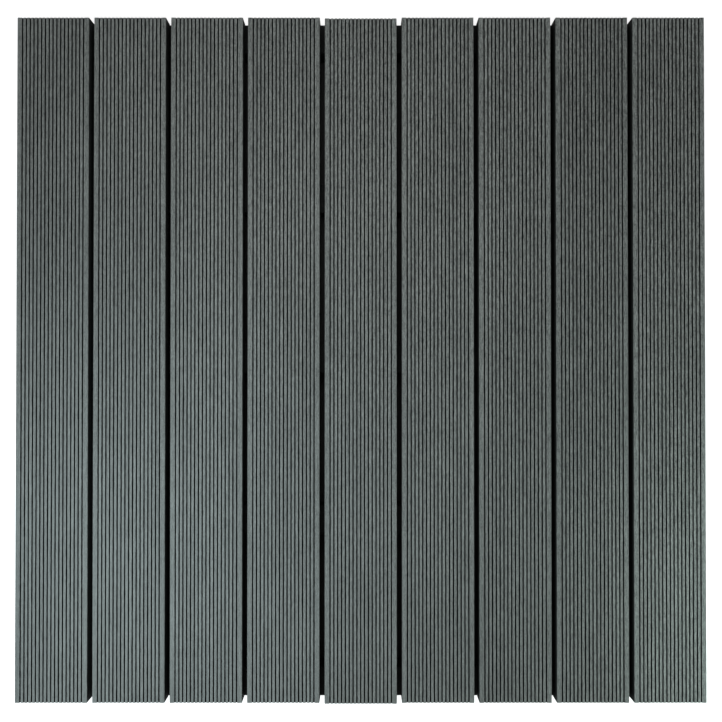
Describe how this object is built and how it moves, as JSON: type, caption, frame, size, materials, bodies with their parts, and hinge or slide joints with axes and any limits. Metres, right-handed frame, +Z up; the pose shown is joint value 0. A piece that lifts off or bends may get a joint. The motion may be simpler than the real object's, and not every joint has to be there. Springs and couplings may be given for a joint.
{
  "type": "composite deck tile",
  "caption": "Near-square deck tile of finely grooved hollow composite slats, laid side by side with open gaps and screwed from below to cross joists.",
  "frame": {"origin": "bottom centre of the tile, on the surface that the joists rest on", "axes": "+X across the slats, +Y along the slats, +Z up out of the walking face"},
  "size_m": [0.956, 0.9512, 0.05],
  "materials": {
    "slat_composite": "brushed grey wood-plastic composite, dark in the grooves",
    "joist_composite": "plain extruded charcoal wood-plastic composite",
    "screw_steel": "stainless"
  },
  "bodies": {
    "root": {"slat_1": "slat_composite", "slat_2": "slat_composite", "slat_3": "slat_composite", "slat_4": "slat_composite", "slat_5": "slat_composite", "slat_6": "slat_composite", "slat_7": "slat_composite", "slat_8": "slat_composite", "slat_9": "slat_composite", "joist_1": "joist_composite", "joist_2": "joist_composite", "joist_3": "joist_composite", "joist_4": "joist_composite", "joist_5": "joist_composite", "joist_1_screws": "screw_steel", "joist_2_screws": "screw_steel", "joist_3_screws": "screw_steel", "joist_4_screws": "screw_steel", "joist_5_screws": "screw_steel"}
  },
  "joints": []
}
